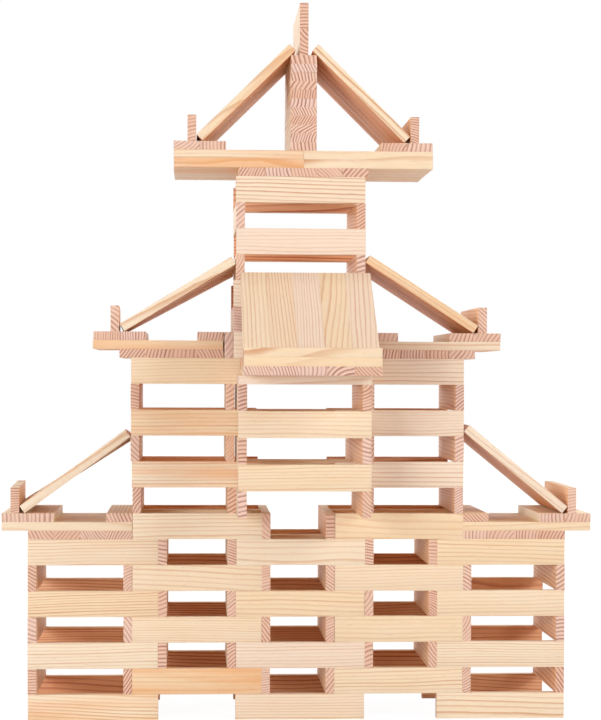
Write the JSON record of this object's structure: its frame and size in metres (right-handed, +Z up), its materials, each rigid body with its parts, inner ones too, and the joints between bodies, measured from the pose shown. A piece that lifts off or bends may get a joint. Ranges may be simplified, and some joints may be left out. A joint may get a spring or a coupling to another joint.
{
  "type": "stacked plank tower",
  "caption": "Three-storey gabled tower stacked from loose pine planks, with open windows, wide eaves, leaning plank roofs, a front porch roof and a ridge finial.",
  "frame": {"origin": "centre of the footprint's bounding box, on the surface that the lowest planks rest on", "axes": "+Z up, +X to the right seen from the porch, +Y from the porch towards the back"},
  "size_m": [0.534, 0.239, 0.6474],
  "materials": {
    "pine": "raw planed pine, satin",
    "pine_roof": "raw planed pine, satin"
  },
  "bodies": {
    "stack": {"base_course_1": "pine", "base_course_2": "pine", "base_course_3": "pine", "base_course_4": "pine", "base_course_5": "pine", "base_course_6": "pine", "base_course_7": "pine", "base_course_8": "pine", "lower_eave_bearers": "pine", "lower_eave_caps": "pine", "lower_eave_decks": "pine", "porch_eave_bearers": "pine", "porch_eave_caps": "pine", "porch_eave_decks": "pine", "ridge_stack": "pine", "top_eave_bearers": "pine", "top_eave_caps": "pine", "top_eave_decks": "pine", "tower_course_1": "pine", "tower_course_2": "pine", "tower_course_3": "pine", "tower_course_4": "pine", "tower_course_5": "pine", "tower_course_7": "pine", "tower_curbs": "pine", "upper_eave_bearers": "pine", "upper_eave_caps": "pine", "upper_eave_decks": "pine", "wing_course_1": "pine", "wing_course_2": "pine", "wing_course_3": "pine", "wing_course_4": "pine", "wing_course_5": "pine", "wing_course_6": "pine"},
    "lower_roof_left": {"lower_roof_left": "pine_roof"},
    "lower_stop_left": {"lower_stop_left": "pine"},
    "lower_roof_right": {"lower_roof_right": "pine_roof"},
    "lower_stop_right": {"lower_stop_right": "pine"},
    "upper_roof_left": {"upper_roof_left": "pine_roof"},
    "upper_stop_left": {"upper_stop_left": "pine"},
    "upper_roof_right": {"upper_roof_right": "pine_roof"},
    "upper_stop_right": {"upper_stop_right": "pine"},
    "top_roof_left": {"top_roof_left": "pine_roof"},
    "top_stop_left": {"top_stop_left": "pine"},
    "top_roof_right": {"top_roof_right": "pine_roof"},
    "top_stop_right": {"top_stop_right": "pine"},
    "porch_roof": {"porch_roof": "pine_roof"},
    "porch_stop": {"porch_stop": "pine"},
    "finial_lower": {"finial_lower": "pine"},
    "finial_upper": {"finial_upper": "pine"},
    "base_inner_draw_plank_left": {"base_inner_draw_plank_left": "pine"},
    "base_inner_draw_plank_right": {"base_inner_draw_plank_right": "pine"},
    "base_outer_draw_plank_left": {"base_outer_draw_plank_left": "pine"},
    "base_outer_draw_plank_right": {"base_outer_draw_plank_right": "pine"},
    "wing_draw_plank_left": {"wing_draw_plank_left": "pine"},
    "wing_draw_plank_right": {"wing_draw_plank_right": "pine"},
    "tower_draw_plank_left": {"tower_draw_plank_left": "pine"},
    "tower_draw_plank_right": {"tower_draw_plank_right": "pine"}
  },
  "joints": [
    {"name": "lower_roof_left_lift", "type": "slide", "parent": "stack", "child": "lower_roof_left", "axis": [0, 0, 1], "range_m": [0, 0.06]},
    {"name": "lower_stop_left_lift", "type": "slide", "parent": "stack", "child": "lower_stop_left", "axis": [0, 0, 1], "range_m": [0, 0.06]},
    {"name": "lower_roof_right_lift", "type": "slide", "parent": "stack", "child": "lower_roof_right", "axis": [0, 0, 1], "range_m": [0, 0.06]},
    {"name": "lower_stop_right_lift", "type": "slide", "parent": "stack", "child": "lower_stop_right", "axis": [0, 0, 1], "range_m": [0, 0.06]},
    {"name": "upper_roof_left_lift", "type": "slide", "parent": "stack", "child": "upper_roof_left", "axis": [0, 0, 1], "range_m": [0, 0.06]},
    {"name": "upper_stop_left_lift", "type": "slide", "parent": "stack", "child": "upper_stop_left", "axis": [0, 0, 1], "range_m": [0, 0.06]},
    {"name": "upper_roof_right_lift", "type": "slide", "parent": "stack", "child": "upper_roof_right", "axis": [0, 0, 1], "range_m": [0, 0.06]},
    {"name": "upper_stop_right_lift", "type": "slide", "parent": "stack", "child": "upper_stop_right", "axis": [0, 0, 1], "range_m": [0, 0.06]},
    {"name": "top_roof_left_lift", "type": "slide", "parent": "stack", "child": "top_roof_left", "axis": [0, 0, 1], "range_m": [0, 0.06]},
    {"name": "top_stop_left_lift", "type": "slide", "parent": "stack", "child": "top_stop_left", "axis": [0, 0, 1], "range_m": [0, 0.06]},
    {"name": "top_roof_right_lift", "type": "slide", "parent": "stack", "child": "top_roof_right", "axis": [0, 0, 1], "range_m": [0, 0.06]},
    {"name": "top_stop_right_lift", "type": "slide", "parent": "stack", "child": "top_stop_right", "axis": [0, 0, 1], "range_m": [0, 0.06]},
    {"name": "porch_roof_lift", "type": "slide", "parent": "stack", "child": "porch_roof", "axis": [0, 0, 1], "range_m": [0, 0.06]},
    {"name": "porch_stop_lift", "type": "slide", "parent": "stack", "child": "porch_stop", "axis": [0, 0, 1], "range_m": [0, 0.06]},
    {"name": "finial_lower_lift", "type": "slide", "parent": "stack", "child": "finial_lower", "axis": [0, 0, 1], "range_m": [0, 0.06]},
    {"name": "finial_upper_lift", "type": "slide", "parent": "finial_lower", "child": "finial_upper", "axis": [0, 0, 1], "range_m": [0, 0.06]},
    {"name": "base_inner_draw_plank_left_draw", "type": "slide", "parent": "stack", "child": "base_inner_draw_plank_left", "axis": [0, -1, 0], "range_m": [0, 0.117]},
    {"name": "base_inner_draw_plank_right_draw", "type": "slide", "parent": "stack", "child": "base_inner_draw_plank_right", "axis": [0, -1, 0], "range_m": [0, 0.117]},
    {"name": "base_outer_draw_plank_left_draw", "type": "slide", "parent": "stack", "child": "base_outer_draw_plank_left", "axis": [0, -1, 0], "range_m": [0, 0.117]},
    {"name": "base_outer_draw_plank_right_draw", "type": "slide", "parent": "stack", "child": "base_outer_draw_plank_right", "axis": [0, -1, 0], "range_m": [0, 0.117]},
    {"name": "wing_draw_plank_left_draw", "type": "slide", "parent": "stack", "child": "wing_draw_plank_left", "axis": [0, -1, 0], "range_m": [0, 0.117]},
    {"name": "wing_draw_plank_right_draw", "type": "slide", "parent": "stack", "child": "wing_draw_plank_right", "axis": [0, -1, 0], "range_m": [0, 0.117]},
    {"name": "tower_draw_plank_left_draw", "type": "slide", "parent": "stack", "child": "tower_draw_plank_left", "axis": [0, 1, 0], "range_m": [0, 0.117]},
    {"name": "tower_draw_plank_right_draw", "type": "slide", "parent": "stack", "child": "tower_draw_plank_right", "axis": [0, 1, 0], "range_m": [0, 0.117]}
  ]
}
